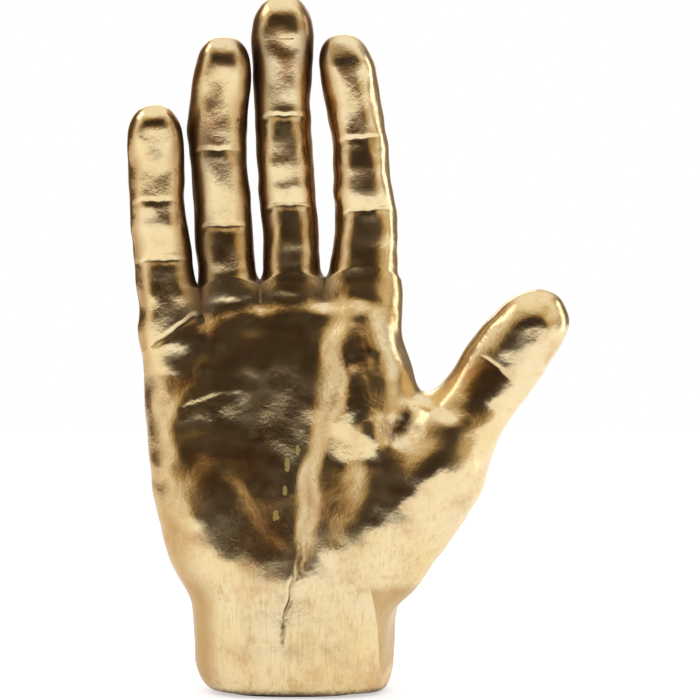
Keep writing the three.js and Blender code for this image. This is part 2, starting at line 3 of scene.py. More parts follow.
import bmesh
import bpy
import numpy as np
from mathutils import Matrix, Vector


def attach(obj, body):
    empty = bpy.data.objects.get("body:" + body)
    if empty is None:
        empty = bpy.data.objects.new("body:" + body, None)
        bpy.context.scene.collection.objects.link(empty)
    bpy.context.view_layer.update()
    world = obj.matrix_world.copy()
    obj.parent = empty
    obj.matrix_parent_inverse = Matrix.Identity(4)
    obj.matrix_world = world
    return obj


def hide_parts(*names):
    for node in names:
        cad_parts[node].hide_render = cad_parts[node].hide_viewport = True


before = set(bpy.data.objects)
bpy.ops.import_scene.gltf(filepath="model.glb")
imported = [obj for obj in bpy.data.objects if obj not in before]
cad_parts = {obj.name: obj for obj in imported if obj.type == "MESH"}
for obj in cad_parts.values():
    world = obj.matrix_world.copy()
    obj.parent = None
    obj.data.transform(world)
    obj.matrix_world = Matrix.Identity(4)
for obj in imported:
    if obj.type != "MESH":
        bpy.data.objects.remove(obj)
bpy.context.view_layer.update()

# The gilded castings: the palm with its wrist, and five digits pinned on it.
# They are cast resin, sculpted in clay first, with gold leaf laid on and burnished
# over every joint, so all six share one unbroken surface, worked out here in millimetres.
MILLIMETRE = 0.001

# The thickness of the felt that the castings stand on
FELT = 1.5


def smoothstep(low, high, value):
    """0 below low, 1 above high, and 3t^2 - 2t^3 between them."""
    t = np.clip((value - low) / (high - low), 0, 1)
    return t * t * (3 - 2 * t)


def curve(rows):
    """A sampler of the smooth curve through rows of (position, value, value, ...): a cubic
    between each two rows, whose slope at a row is that between its neighbours."""
    rows = np.array(rows, float)
    x, y = rows[:, 0], rows[:, 1:]
    place = np.arange(len(x))
    before, after = np.maximum(place - 1, 0), np.minimum(place + 1, len(x) - 1)
    slope = (y[after] - y[before]) / (x[after] - x[before])[:, None]
    fine = np.linspace(x[0], x[-1], 600)
    i = np.clip(np.searchsorted(x, fine, side="right") - 1, 0, len(x) - 2)
    span = (x[i + 1] - x[i])[:, None]
    t = (fine - x[i])[:, None] / span
    values = (
        y[i] * (2 * t**3 - 3 * t**2 + 1)
        + y[i + 1] * (3 * t**2 - 2 * t**3)
        + slope[i] * span * (t**3 - 2 * t**2 + t)
        + slope[i + 1] * span * (t**3 - t**2)
    )
    return lambda at: [np.interp(at, fine, column) for column in values.T]


class Digit:
    """A finger or the thumb as a rounded tube along the line from its root to its tip.

    A section at a share of the length is an oval |x|^n + |y|^n = 1, where x and y are
    measured from the section's middle in half widths and half depths, and the front has
    a power n of its own. The oval shrinks to nothing over the tip's rounding."""

    def __init__(self, root, length, spread, lean, rounding, rows, slope=0.0, back_power=2.1):
        self.root, self.length, self.rounding, self.slope = np.array(root, float), length, rounding, slope
        spread, lean = np.radians([spread, lean])
        along = np.array([np.sin(spread) * np.cos(lean), -np.sin(lean), np.cos(spread) * np.cos(lean)])
        across = np.cross([0, 1, 0], along)
        across /= np.linalg.norm(across)
        self.axes = np.stack([across, np.cross(along, across), along], axis=1)
        self.sample, self.start, self.back_power = curve(rows), rows[0][0] * self.length, back_power

    def section(self, distance):
        """Middle across and through, half width, half depth and the front's power."""
        middle, width, front, back, power = self.sample(distance / self.length)
        return middle, (back - front) / 2, width, (back + front) / 2, power

    def local(self, points):
        return (points - self.root) @ self.axes

    def world(self, local):
        return local @ self.axes.T + self.root

    def field(self, points):
        """Signed distance, roughly, from the digit's surface: below zero inside."""
        x, y, along = np.moveaxis(self.local(points), -1, 0)
        middle_x, middle_y, width, depth, power = self.section(along)
        n = np.where(y < middle_y, power, self.back_power)
        past = np.clip((along - self.length + self.rounding) / self.rounding, 0, None)
        past = past + np.clip((self.start - along) / self.rounding, 0, None)
        total = (np.abs(x - middle_x) / width) ** n + (np.abs(y - middle_y) / depth) ** n + past**2.15
        return (total ** (1 / n) - 1) * np.minimum(width, depth)


# Where neighbouring fingers meet at their roots, as x and z, and how far the palm's casting
# would run on above that line before the fingers cut it
ROOT_LINE = np.array([[-81, 175.5], [-48.6, 198.2], [-17.4, 202.8], [16.6, 205], [59, 202.5]])
WEB_RISE = 8


def finger(index, depth, length, spread, lean, rounding, rows):
    """A finger on the middle of its stretch of the root line, cut to that line's slope."""
    (x0, z0), (x1, z1) = ROOT_LINE[index : index + 2]
    root = ((x0 + x1) / 2, depth, (z0 + z1) / 2)
    return Digit(root, length, spread, lean, rounding, rows, (z1 - z0) / (x1 - x0))


# A digit has its length, the lean of its tip towards the thumb's side and towards the front
# in degrees, the length of its rounded tip, and its rows: share of its length,
# shift of its middle towards the thumb, half width, the depths of its front and back from the
# line of its root and tip, and the front's power
little = finger(0, -4, 117.6, -2, 7.9, 21, [
    (-0.42, 4, 9, 6, 7, 2.2),
    (-0.2, 4.6, 12, 8, 11, 2.2),
    (-0.12, 2.2, 13.4, 10.6, 14, 2.2),
    (0, 0.4, 15.6, 12.8, 14.2, 2.2),
    (0.13, 0.6, 15.6, 12.2, 13, 2.2),
    (0.27, -0.4, 15.3, 11.0, 13.2, 2.2),
    (0.33, -0.9, 15.2, 10.2, 13.6, 2.1),
    (0.4, -1.5, 14.9, 11.2, 13, 2.1),
    (0.5, -2.1, 14.3, 12.6, 11.6, 2.1),
    (0.58, -2.3, 14.1, 13.5, 11.6, 2.1),
    (0.66, -2.2, 14.2, 13.7, 11.2, 2.1),
    (0.77, -1.8, 14.8, 14.6, 10, 2.1),
    (0.86, -1.4, 14.4, 16.6, 8.6, 2.5),
    (0.93, -1.3, 14, 18.6, 7.6, 2.5),
    (1, -1.2, 13.6, 19, 7, 2.5),
])
ring = finger(1, 1, 139.6, -1.25, 7.9, 22, [
    (-0.42, 3, 9, 6, 7, 2.3),
    (-0.2, 1, 12.6, 9, 12.5, 2.3),
    (-0.12, 0.5, 14.4, 12, 15.5, 2.3),
    (0, -0.1, 15.4, 14.4, 16, 2.3),
    (0.17, -1.5, 15.2, 13.2, 14.4, 2.3),
    (0.26, -2.1, 15.1, 12, 14.6, 2.3),
    (0.31, -2.3, 15.1, 11.2, 15, 2.2),
    (0.4, -2.7, 14.8, 12.8, 13.8, 2.1),
    (0.52, -3.4, 14.6, 14.6, 12.4, 2.1),
    (0.58, -4, 14.9, 15.2, 12.6, 2.1),
    (0.68, -3.8, 15.5, 15.8, 12, 2.1),
    (0.77, -1.7, 15.2, 17.2, 10.6, 2.1),
    (0.87, 0.3, 14.5, 19.6, 8.8, 2.5),
    (0.93, 1, 14.2, 21.2, 8, 2.5),
    (1, 1.3, 14, 21.4, 7.4, 2.5),
])
middle = finger(2, 2, 156.4, -1.65, 5.5, 23, [
    (-0.42, -2, 9, 6, 7, 2.2),
    (-0.2, -1, 13, 9.5, 13, 2.2),
    (-0.12, -0.5, 15, 12.5, 16, 2.2),
    (0, 0.3, 16, 15.8, 16.6, 2.2),
    (0.12, 0.1, 14.9, 15.2, 15.4, 2.1),
    (0.24, 0.1, 14.6, 13.8, 15, 2.1),
    (0.31, -0.6, 14.8, 12.6, 15.6, 2.1),
    (0.38, -0.9, 14.8, 14.8, 14.6, 2.1),
    (0.48, -1.4, 14.7, 17, 13, 2.1),
    (0.6, -1.6, 14.5, 16.8, 13, 2.1),
    (0.66, -2, 14.4, 17.2, 12.4, 2.1),
    (0.74, -1.1, 15.2, 19, 11.2, 2.1),
    (0.84, -0.6, 15.9, 22, 9.4, 2.5),
    (0.92, -0.2, 15.9, 24, 8.2, 2.5),
    (1, 0, 15.9, 24.4, 7.4, 2.5),
])
index_finger = finger(3, 0, 137, -5.1, 5, 22, [
    (-0.42, -4, 12, 7, 8, 2.2),
    (-0.2, -1, 15, 10, 14, 2.2),
    (-0.12, -0.5, 16.4, 13, 16.4, 2.2),
    (0, -0.6, 18.2, 15.4, 16.4, 2.2),
    (0.15, 1.3, 17.5, 14.6, 15.2, 2.2),
    (0.25, 3.3, 16.4, 13.8, 14.8, 2.2),
    (0.33, 4.1, 15.8, 12.6, 15.2, 2.1),
    (0.4, 3.9, 15.2, 14.4, 14, 2.1),
    (0.5, 3.8, 14.7, 15, 13, 2.1),
    (0.6, 4.2, 14.4, 14.4, 13, 2.1),
    (0.7, 3.2, 14.5, 16, 12, 2.1),
    (0.8, 2, 14.4, 18.6, 10.6, 2.1),
    (0.88, 1.2, 14.5, 20.4, 9, 2.5),
    (0.94, 0.3, 14.5, 21.2, 8.2, 2.5),
    (1, -0.5, 14.6, 21.4, 7.6, 2.5),
])
thumb = Digit((82.6, -14, 133.8), 89.6, 36.6, 0, 24, [
    (-1.07, -2, 24, 14, 15, 1.8),
    (-0.89, -4, 35, 22, 22, 1.7),
    (-0.67, -5, 37, 25, 24, 1.6),
    (-0.45, -1.5, 33, 25, 24, 1.65),
    (-0.26, 1.5, 29.5, 25.4, 23, 1.75),
    (-0.12, 2.5, 26, 24, 21, 1.85),
    (0.01, -0.2, 24.2, 21.4, 18.8, 1.9),
    (0.1, 0.2, 20.6, 18.8, 17.5, 1.95),
    (0.26, 0, 19.2, 16.2, 17, 2),
    (0.42, -0.7, 20.3, 14.6, 17.4, 2.1),
    (0.5, -1.1, 20.2, 15.6, 16.4, 2.1),
    (0.64, -1.3, 19.7, 17.4, 14.4, 2.1),
    (0.78, -0.7, 18.4, 18.2, 13, 2.1),
    (1, -0.2, 17.8, 17.4, 11.4, 2.1),
])
FINGERS = [little, ring, middle, index_finger]

# Palm and wrist: height, reach to the little finger's side, to the thumb's side, to the
# front and to the back, and the depth at which it is widest
PALM = curve([
    (1.5, 50.5, 52.5, 30.4, 34, 0),
    (44, 52.5, 53.5, 32.2, 34, 0),
    (52, 54.8, 53.4, 32.9, 33, -2),
    (62, 60.6, 54.4, 34.6, 31, -4),
    (72, 65, 54.6, 35.4, 30, -6),
    (84, 67.8, 56, 34.4, 29, -7),
    (104, 72.2, 58, 31, 28, -7),
    (121, 74.4, 60, 27.6, 27, -6),
    (148, 75.8, 61.4, 23.4, 25, -4),
    (166, 74.6, 56, 20.5, 22, -3),
    (177, 67, 49.6, 18.4, 19.8, -2),
    (186, 63, 45.6, 16.6, 17.8, -1.5),
    (198, 60.6, 43, 14, 14.5, -1),
    (214, 58, 39, 9.5, 10, 0),
])

# The wrist's rounded lower edge: its height, its inset on the little finger's side, and how
# much less that is on the thumb's
RIM_HEIGHT = 18
RIM_INSET = 6
RIM_SHARPER = 2.5

# The flat cut on the wrist: the way it faces, its distance from the middle, and the height
# that it runs out from
FLAT_FACING = np.radians(-22)
FLAT_DISTANCE = 49.8
FLAT_TOP = 58

# Powers of the palm's section, behind and in front above the wrist, and the widths of the
# fillets that join the fingers and the thumb to it
PALM_POWER = 2.6
SOFTER_FRONT = 0.45
FINGER_FILLET = 10
THUMB_FILLET = 14

# The four knuckles on the back: distance below the joint, half sizes, height
KNUCKLE_BELOW = 24
KNUCKLE_WIDE, KNUCKLE_TALL = 8.5, 10
KNUCKLE_HEIGHT = 3.2

# Swellings and hollows of the palm's front: middle x and z, half sizes along and across
# the direction it is turned to in degrees from the vertical, how flat its top is, height
RELIEF = [
    (-1, 107, 45, 25, -16, 1, -9.6),
    (51, 131, 17, 9, 35, 1, -2.5),
    (-38, 95, 40, 17, -26, 1, 1.3),
    (40, 166, 43, 21, -4, 1.6, 11.5),
]
MAP_X, MAP_Z = np.arange(-100.0, 130, 1), np.arange(0.0, 235, 1)


def swell(x, z, middle_x, middle_z, along, across, turn, flat, height):
    """A mound: height times e^(-r^2p), where r is the share of the half sizes that a point
    lies out from the middle, and p makes the top flat."""
    angle = np.radians(turn)
    dx, dz = x - middle_x, z - middle_z
    u = dx * np.sin(angle) + dz * np.cos(angle)
    v = dx * np.cos(angle) - dz * np.sin(angle)
    return height * np.exp(-(((u / along) ** 2 + (v / across) ** 2) ** flat))


def distance_to_path(u, v, path):
    """Distance of each point to a smooth path of (u, v) points, positive on its left, and
    the share of the path's length at the nearest place."""
    path = np.array(path, float)
    run = np.r_[0, np.cumsum(np.hypot(*np.diff(path, axis=0).T))]
    share = np.linspace(0, 1, 90)
    px, py = curve(np.c_[run / run[-1], path])(share)
    nearest = np.argmin((u[..., None] - px) ** 2 + (v[..., None] - py) ** 2, axis=-1)
    tx, ty = np.gradient(px), np.gradient(py)
    norm = np.hypot(tx, ty)[nearest]
    du, dv = u - px[nearest], v - py[nearest]
    side = (tx[nearest] * dv - ty[nearest] * du) / norm
    past = np.abs(tx[nearest] * du + ty[nearest] * dv) / norm
    return np.copysign(np.hypot(side, past), side), share[nearest]


# Steps of the palm's front: path as x and z, the height that the ground on its left rises
# by, the width of the rise, and the distance over which it fades again
SHELVES = [
    ([(54, 197), (34, 199), (0, 199.5), (-32, 196), (-50, 188), (-76, 171)], 2.2, 10, 42),
    ([(72, 152), (60, 149.5), (48.2, 148), (39.5, 143.4), (30.8, 135.5), (25, 128)], 2.2, 12, 16),
    ([(46, 147), (38, 133), (35, 120), (34, 108), (30.5, 95), (25, 84), (14, 70)], 6.6, 19, 26),
    ([(-20, 151), (-32, 149), (-48, 143.5), (-64, 137)], -1.1, 12, 22),
    (
        [(18, 166), (15.5, 150), (14, 138), (12, 126), (8.5, 112), (8, 92), (6.5, 76), (4, 58), (1, 40)],
        4.4, 15, 26,
    ),
    ([(27, 172), (25, 156), (24, 143), (22, 131), (18, 119)], 1.6, 14, 30),
]


def shelf(x, z, path, height, width, fade):
    """Height times a smooth rise across the path, which fades with the distance squared."""
    side, share = distance_to_path(x, z, path)
    ends = smoothstep(0, 0.2, share) * smoothstep(0, 0.25, 1 - share)
    rise = smoothstep(-width / 2, width / 2, side) * np.exp(-((np.clip(side, 0, None) / fade) ** 2))
    return height * ends * rise


def relief_map():
    """All mounds and steps of the front, a value every millimetre, fading out on the wrist."""
    x, z = np.meshgrid(MAP_X, MAP_Z, indexing="ij")
    heights = sum(swell(x, z, *mound) for mound in RELIEF)
    heights = heights + sum(shelf(x, z, *step) for step in SHELVES)
    return heights * smoothstep(22, 62, z)


FRONT_RELIEF = relief_map()


def front_relief(x, z):
    """The map of the front's swellings at points, evenly between its four nearest places."""
    u = np.clip(x - MAP_X[0], 0, len(MAP_X) - 1.001)
    v = np.clip(z - MAP_Z[0], 0, len(MAP_Z) - 1.001)
    i, j = u.astype(int), v.astype(int)
    a, b = u - i, v - j
    low = FRONT_RELIEF[i, j] * (1 - a) + FRONT_RELIEF[i + 1, j] * a
    high = FRONT_RELIEF[i, j + 1] * (1 - a) + FRONT_RELIEF[i + 1, j + 1] * a
    return low * (1 - b) + high * b


def back_relief(x, z):
    """The knuckles, as mounds below the finger roots: height times e^(-r^2)."""
    knuckles = [digit.world(np.array([0, 0, -KNUCKLE_BELOW])) for digit in FINGERS]
    return sum(
        KNUCKLE_HEIGHT * np.exp(-(((x - kx) / KNUCKLE_WIDE) ** 2) - ((z - kz) / KNUCKLE_TALL) ** 2)
        for kx, _, kz in knuckles
    )


def rim(points):
    """Inset of the rounded lower edge: a quarter of an oval, narrower on the thumb's side."""
    down = np.clip((FELT + RIM_HEIGHT - points[..., 2]) / RIM_HEIGHT, 0, 1)
    inset = RIM_INSET - RIM_SHARPER * smoothstep(0, 52, points[..., 0])
    return inset * (1 - np.sqrt(1 - down**2))


def slab(points):
    """The wrist and the flat of the hand: a rounded box whose four sides follow the rows,
    cut by the wrist's flat, topped along the webs, with the front's swellings added."""
    x, y, z = np.moveaxis(points, -1, 0)
    left, right, front, back, widest = PALM(z)
    n = np.where(y < widest, PALM_POWER - SOFTER_FRONT * smoothstep(50, 75, z), PALM_POWER)
    total = (np.abs(x - (right - left) / 2) / ((left + right) / 2)) ** n
    total = total + (np.abs(y - widest) / np.where(y < widest, front + widest, back - widest)) ** n
    field = (total ** (1 / n) - 1) * np.minimum(front, back) + rim(points)
    toward_flat = x * np.cos(FLAT_FACING) + y * np.sin(FLAT_FACING)
    flat = toward_flat - FLAT_DISTANCE + rim(points) - np.clip(z - FLAT_TOP, 0, None)
    web = z - np.interp(x, ROOT_LINE[:, 0], ROOT_LINE[:, 1]) - WEB_RISE
    raised = smoothstep(-2, 12, -y) * front_relief(x, z) + smoothstep(-2, 12, y) * back_relief(x, z)
    return np.maximum(np.maximum(field, flat), web) - raised


def blend(a, b, width):
    """The nearer of two surfaces, with a fillet: min(a, b) - (width - |a - b|)^2 / 4 width."""
    return np.minimum(a, b) - np.clip(width - np.abs(a - b), 0, None) ** 2 / (4 * width)


def hand(points, fingers, with_thumb=True):
    """The whole hand: the slab, the fingers that are near, and the thumb with its ball."""
    field = slab(points)
    if fingers:
        nearest = reduce(np.minimum, [digit.field(points) for digit in fingers])
        field = blend(field, nearest, FINGER_FILLET)
    return blend(field, thumb.field(points), THUMB_FILLET) if with_thumb else field


def march(field, origins, directions, shortest=2.0, longest=60.0, pace=0.85, steps=30):
    """The surface seen from inside: each ray from its origin grows by most of the field's
    own value, many times over, until it stands where the field is zero."""
    reach = np.full(origins.shape[:-1], shortest)
    for _ in range(steps):
        value = field(origins + reach[..., None] * directions)
        reach = np.clip(reach - pace * value, 0, longest)
    return origins + reach[..., None] * directions


def digit_grid(digit, field, sides, step, below):
    """A digit's skin as rings: square to its line up to the tip, where the rays of the
    rings fan out from one middle over a quarter turn."""
    body = digit.length - digit.rounding
    rings = np.arange(-below, body, step)
    fan = np.linspace(0, np.radians(89.5), int(digit.rounding * 1.5 / step))
    along = np.r_[rings, np.full(len(fan), body)]
    rise = np.r_[np.zeros(len(rings)), fan]
    middle_x, middle_y = digit.section(along)[:2]
    turn = np.linspace(0, 2 * np.pi, sides, endpoint=False)
    origins = np.stack([middle_x, middle_y, along], axis=-1)[:, None].repeat(sides, axis=1)
    out = np.cos(rise)[:, None]
    directions = np.stack(
        [out * np.cos(turn), out * np.sin(turn), np.sin(rise)[:, None] + 0 * turn], axis=-1
    )
    return march(field, digit.world(origins), directions @ digit.axes.T)


# The middle line that the palm's rays start from: height, its ends to each side, and the
# depth of its thumb end
PALM_CORE = curve([
    (1.5, -26, 28, 0),
    (44, -26, 28, 0),
    (62, -34, 34, -3),
    (84, -42, 46, -10),
    (100, -47, 57, -14),
    (121, -51, 71, -14),
    (134, -53, 70, -14),
    (148, -53, 54, -13),
    (154, -52, 42, -6),
    (182, -48, 34, 0),
    (214, -44, 30, 0),
])
HOLLOW_CORE = curve([(0, -30, 30, 0), (150, -30, 30, 0)])
PALM_TOP = 212

# The hollow from its top down, as height and distance inside the palm's surface: its walls,
# the ledge that holds the ballast, and the pocket of the closing plate
WALL = 9
CAVITY = [(147.5 - 15 * step, WALL) for step in range(9)]
CAVITY += [(12.5, WALL), (12.5, 16), (7.8, 16), (7.8, 13), (FELT, 13)]


def palm_rays(heights, core, across=130, behind=100, round_end=70):
    """Rays of level rings: straight ahead and straight back from the middle line, and
    fanned over half a turn at its two ends."""
    left, right, end_depth = (column[:, None] for column in core(heights))
    fan = np.linspace(-np.pi / 2, np.pi / 2, round_end, endpoint=False)
    back = np.linspace(1, 0, behind, endpoint=False)
    front = np.linspace(0, 1, across, endpoint=False)
    share = np.r_[np.ones(round_end), back, np.zeros(round_end), front]
    angle = np.r_[fan, np.full(behind, np.pi / 2), fan + np.pi, np.full(across, -np.pi / 2)]
    x = left + (right - left) * share
    origins = np.stack([x, end_depth * smoothstep(0, 1, share), heights[:, None] + 0 * x], axis=-1)
    directions = np.stack([np.cos(angle), np.sin(angle), 0 * angle], axis=-1)
    return origins, np.broadcast_to(directions, origins.shape)


def palm_grid(step):
    """The palm's skin as rings: down the hollow, over the ledge and out along the
    underside, round the rim and up to just above the finger roots."""
    inner = np.array(CAVITY)
    origins, directions = palm_rays(inner[:, 0], HOLLOW_CORE)

    def hollow(points):
        """The palm's slab without its rim, shrunk by each ring's distance inside it."""
        above = points.copy()
        above[..., 2] = np.maximum(points[..., 2], FELT + RIM_HEIGHT)
        return slab(above) + inner[:, 1:2]

    inside = march(hollow, origins, directions)
    arc = FELT + RIM_HEIGHT * (1 - np.cos(np.linspace(0, np.pi / 2, 22, endpoint=False)))
    heights = np.r_[arc, np.arange(FELT + RIM_HEIGHT, PALM_TOP, step)]
    outside = march(lambda points: hand(points, FINGERS), *palm_rays(heights, PALM_CORE))
    return inside, outside


def fold(u, v, path, left, right, depth, fade=0.15):
    """A crease: depth times e^(-s^2) beside its path, where s is the distance over the
    width of that side, fading out towards both ends."""
    reach = 3.2 * max(left, right) + 1
    u, v = u + 0.4 * np.sin(0.47 * v + 0.2 * u), v + 0.35 * np.sin(0.41 * u + 1) + 0.15 * np.sin(1.1 * u)
    path = np.array(path, float)
    low, high = path.min(axis=0) - reach, path.max(axis=0) + reach
    near = (u > low[0]) & (u < high[0]) & (v > low[1]) & (v < high[1])
    height = np.zeros(u.shape)
    side, share = distance_to_path(u[near], v[near], path)
    ends = smoothstep(0, fade, share) * smoothstep(0, fade, 1 - share)
    height[near] = -depth * ends * np.exp(-((side / np.where(side > 0, left, right)) ** 2))
    return height


# Creases of the palm's front: path as x and z, widths to the left and right of its
# direction, depth, and for one the share of its length over which its ends fade
PALM_FOLDS = [
    ([(-60, 145), (-50, 149.5), (-41, 152.7), (-24, 155.5)], 1.8, 5, 0.4),
    ([(2.8, 80.2), (-0.8, 55), (-4.4, 39.5), (-4, 27)], 1.2, 0.9, 0.9, 0.5),
    (
        [(72, 66), (63.5, 55.5), (56.6, 48.2), (51.5, 43), (45.4, 38), (37, 34.5), (30, 32.5)],
        4, 3, 0.6,
    ),
    ([(27, 171.5), (36, 173.5), (45, 173.5)], 2.6, 4, 0.6),
    ([(-74, 179), (-66, 183.6), (-56, 191), (-47, 197.4)], 1.2, 2, 0.9),
    ([(-46, 199.6), (-38, 201.2), (-28, 202.2), (-18.5, 203.4)], 2.2, 4, 0.28),
    ([(-16, 204.4), (-6, 205), (5, 205), (14.5, 206)], 2.2, 4, 0.25),
    ([(21, 205.4), (30, 205.4), (39, 203.5), (48, 200.5)], 2.2, 4, 0.25),
]


def uneven(points, shortest=9, longest=34, waves=26, steepness=0.0032):
    """The unevenness of a hand-modelled surface: a sum of sine waves in chance directions,
    each as high as its steepness times its length, so that long and short slope alike."""
    chance = np.random.default_rng(7)
    height = np.zeros(points.shape[:-1])
    for length in np.geomspace(shortest, longest, waves):
        way = chance.normal(size=3)
        way *= 2 * np.pi / length / np.linalg.norm(way)
        height += steepness * length * np.sin(points @ way + chance.uniform(0, 2 * np.pi))
    return height


def facing(normals, toward):
    """How far a surface faces the front (-1) or the back (1): 0 from the side, 1 square on."""
    return smoothstep(0.12, 0.6, toward * normals[..., 1])


def palm_relief(points, normals):
    """Creases of the front and tendons of the back, as heights."""
    x, z = points[..., 0], points[..., 2]
    front = sum(fold(x, z, *line) for line in PALM_FOLDS)
    back = 0
    for digit in FINGERS:
        kx, _, kz = digit.world(np.array([0, 0, -KNUCKLE_BELOW]))
        path = [(kx, kz), (kx * 0.72 + 2, kz - 45), (kx * 0.42 + 3, kz - 95)]
        aside, share = distance_to_path(x, z, path)
        ends = smoothstep(0, 0.12, share) * (1 - smoothstep(0.5, 1, share))
        back = back + 1.3 * np.exp(-((aside / 3) ** 2)) * ends
    lumps = uneven(points) * (0.4 + 0.6 * smoothstep(30, 90, z))
    return facing(normals, -1) * front + facing(normals, 1) * back + lumps


# A nail's middle below the tip, its half length, its half width as a share of the digit's,
# and the power of its outline
NAIL_BELOW, NAIL_LENGTH, NAIL_WIDTH, NAIL_POWER = 17, 12.5, 0.74, 2.6


def digit_relief(digit, joints):
    """The same heights with a digit's own joint creases on its front, the wrinkles over its
    joints on the back, and its nail: a flat plate in a shallow groove."""

    def crease(u, along, at, bow, depth):
        """A fold across the front that bows up in its middle."""
        path = [(-14, at - 1), (-4, at + bow), (5, at + bow), (14, at - 0.6)]
        return fold(u * 14, along, path, 1.2, 2.2, depth, 0.3)

    def heights(points, normals):
        x, y, along = np.moveaxis(digit.local(points), -1, 0)
        middle, _, width = digit.section(along)[:3]
        u = (x - middle) / width
        own = normals @ digit.axes
        front = sum(crease(u, along, *joint) for joint in joints)
        back = 0
        for at, _, depth in joints:
            for shift in (-3.6, -1.2, 1.3, 3.8):
                line = along - at - shift * (1 + 0.25 * u**2)
                back = back - 0.34 * depth * np.exp(-((line / 0.75) ** 2)) * np.exp(-((u / 0.6) ** 2))
        far = np.abs((along - digit.length + NAIL_BELOW) / NAIL_LENGTH)
        across = np.abs(u / NAIL_WIDTH)
        plate = np.maximum(across**NAIL_POWER + far**NAIL_POWER, 1e-6) ** (1 / NAIL_POWER)
        nail = 0.25 * (1 - smoothstep(0.9, 0.97, plate)) - 0.75 * np.exp(-(((plate - 1.04) / 0.06) ** 2))
        return palm_relief(points, normals) + facing(own, -1) * front + facing(own, 1) * (back + nail)

    return heights


def grid_normals(grid):
    """Outward normals of a grid of rings: the cross product of its two directions."""
    along = np.gradient(grid, axis=0)
    around = np.roll(grid, -1, axis=1) - np.roll(grid, 1, axis=1)
    normals = np.cross(around, along)
    return normals / np.maximum(np.linalg.norm(normals, axis=-1, keepdims=True), 1e-9)


def raise_skin(grid, heights):
    """Moves a grid along its normals by the heights."""
    normals = grid_normals(grid)
    return grid + heights(grid, normals)[..., None] * normals


def hollows(grid, reach=3):
    """How far each point lies below the mean of four points a few steps away, in
    millimetres: above zero in creases and webs."""
    rings = np.arange(len(grid))
    before, after = np.maximum(rings - reach, 0), np.minimum(rings + reach, len(grid) - 1)
    mean = (grid[before] + grid[after] + np.roll(grid, reach, axis=1) + np.roll(grid, -reach, axis=1)) / 4
    return ((mean - grid) * grid_normals(grid)).sum(axis=-1)


def neighbour_shade(grid, others):
    """Painted shade: 1 where another finger stands close by, falling to 0 at 15 mm from it."""
    if not others:
        return np.zeros(grid.shape[:2])
    return 1 - smoothstep(3, 15, reduce(np.minimum, [other.field(grid) for other in others]))


def flanks(grid, left, right):
    """How far a surface faces the left or the right, times the weight of that side: the
    strength of the painted shade there."""
    aside = grid_normals(grid)[..., 0]
    return left * smoothstep(0.3, 0.72, -aside) + right * smoothstep(0.3, 0.72, aside)


def ring_mesh(name, rings, others=(), side_shade_weights=(1, 0.9)):
    """A closed mesh of rings of equal length, with a fan from the middle of each end ring,
    and its hollows and its painted shade near other fingers and on the sides as attributes."""
    count, sides = rings.shape[:2]
    points = np.concatenate([rings.reshape(-1, 3), rings[[0, -1]].mean(axis=1)]) * MILLIMETRE
    index = np.arange(count * sides).reshape(count, sides)
    following = np.roll(index, -1, axis=1)
    quads = np.stack([index[:-1], following[:-1], following[1:], index[1:]], axis=-1).reshape(-1, 4)
    first, last = len(points) - 2, len(points) - 1
    low = np.stack([np.full(sides, first), following[0], index[0]], axis=-1)
    high = np.stack([np.full(sides, last), index[-1], following[-1]], axis=-1)
    mesh = bpy.data.meshes.new(name)
    mesh.from_pydata(points.tolist(), [], quads.tolist() + low.tolist() + high.tolist())
    surroundings = {
        "hollow": hollows(rings),
        "neighbour_shade": neighbour_shade(rings, others),
        "flank": flanks(rings, *side_shade_weights),
    }
    for kind, values in surroundings.items():
        kept = mesh.attributes.new(kind, "FLOAT", "POINT")
        kept.data.foreach_set("value", np.r_[values.ravel(), 0, 0].astype(np.float32))
    return mesh


def joint_planes(digit):
    """The plane of a digit's joint face, as a point and a normal towards the tip."""
    lean = np.arctan(digit.slope)
    return digit.root, digit.axes @ np.array([-np.sin(lean), 0, np.cos(lean)])


# The second face of the thumb's casting, along the web, as a point and a normal
WEB_FACE = (thumb.world(np.array([-25.5, 0, 0])), thumb.axes[:, 0])


def beyond(plane, point):
    """Whether a point lies on the side of a plane that its normal points to."""
    return (point - plane[0]) @ plane[1] > 0


def trim(mesh, planes, keep):
    """Cuts a mesh along planes, drops the faces whose middles aren't kept, and closes it."""
    work = bmesh.new()
    work.from_mesh(mesh)
    for point, normal in planes:
        bmesh.ops.bisect_plane(
            work,
            geom=work.verts[:] + work.edges[:] + work.faces[:],
            plane_co=Vector(point * MILLIMETRE),
            plane_no=Vector(normal),
            dist=1e-7,
        )
    dropped = [face for face in work.faces if not keep(np.array(face.calc_center_median()) / MILLIMETRE)]
    bmesh.ops.delete(work, geom=dropped, context="FACES")
    rims = [edge for edge in work.edges if edge.is_boundary]
    bmesh.ops.holes_fill(work, edges=rims, sides=0)
    for edge in rims:
        edge.smooth = False
    work.to_mesh(mesh)
    work.free()


def cast(name, mesh, node):
    """Puts a finished casting in the scene in place of its CAD node."""
    mesh.polygons.foreach_set("use_smooth", np.ones(len(mesh.polygons), dtype=bool))
    piece = bpy.data.objects.new(name, mesh)
    bpy.context.collection.objects.link(piece)
    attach(piece, "root")
    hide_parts(node)
    return piece


inside, outside = palm_grid(0.9)
palm_skin = np.concatenate([inside, raise_skin(outside, palm_relief)])
palm_mesh = ring_mesh("palm_skin", palm_skin, side_shade_weights=(0.7, 0))
FINGER_PLANES = [joint_planes(digit) for digit in FINGERS]
THUMB_PLANE = joint_planes(thumb)


def beyond_roots(point):
    """Whether a point belongs to one of the fingers."""
    return any(beyond(plane, point) for plane in FINGER_PLANES)


def in_thumb(point):
    """Whether a point belongs to the thumb."""
    return beyond(THUMB_PLANE, point) and beyond(WEB_FACE, point)


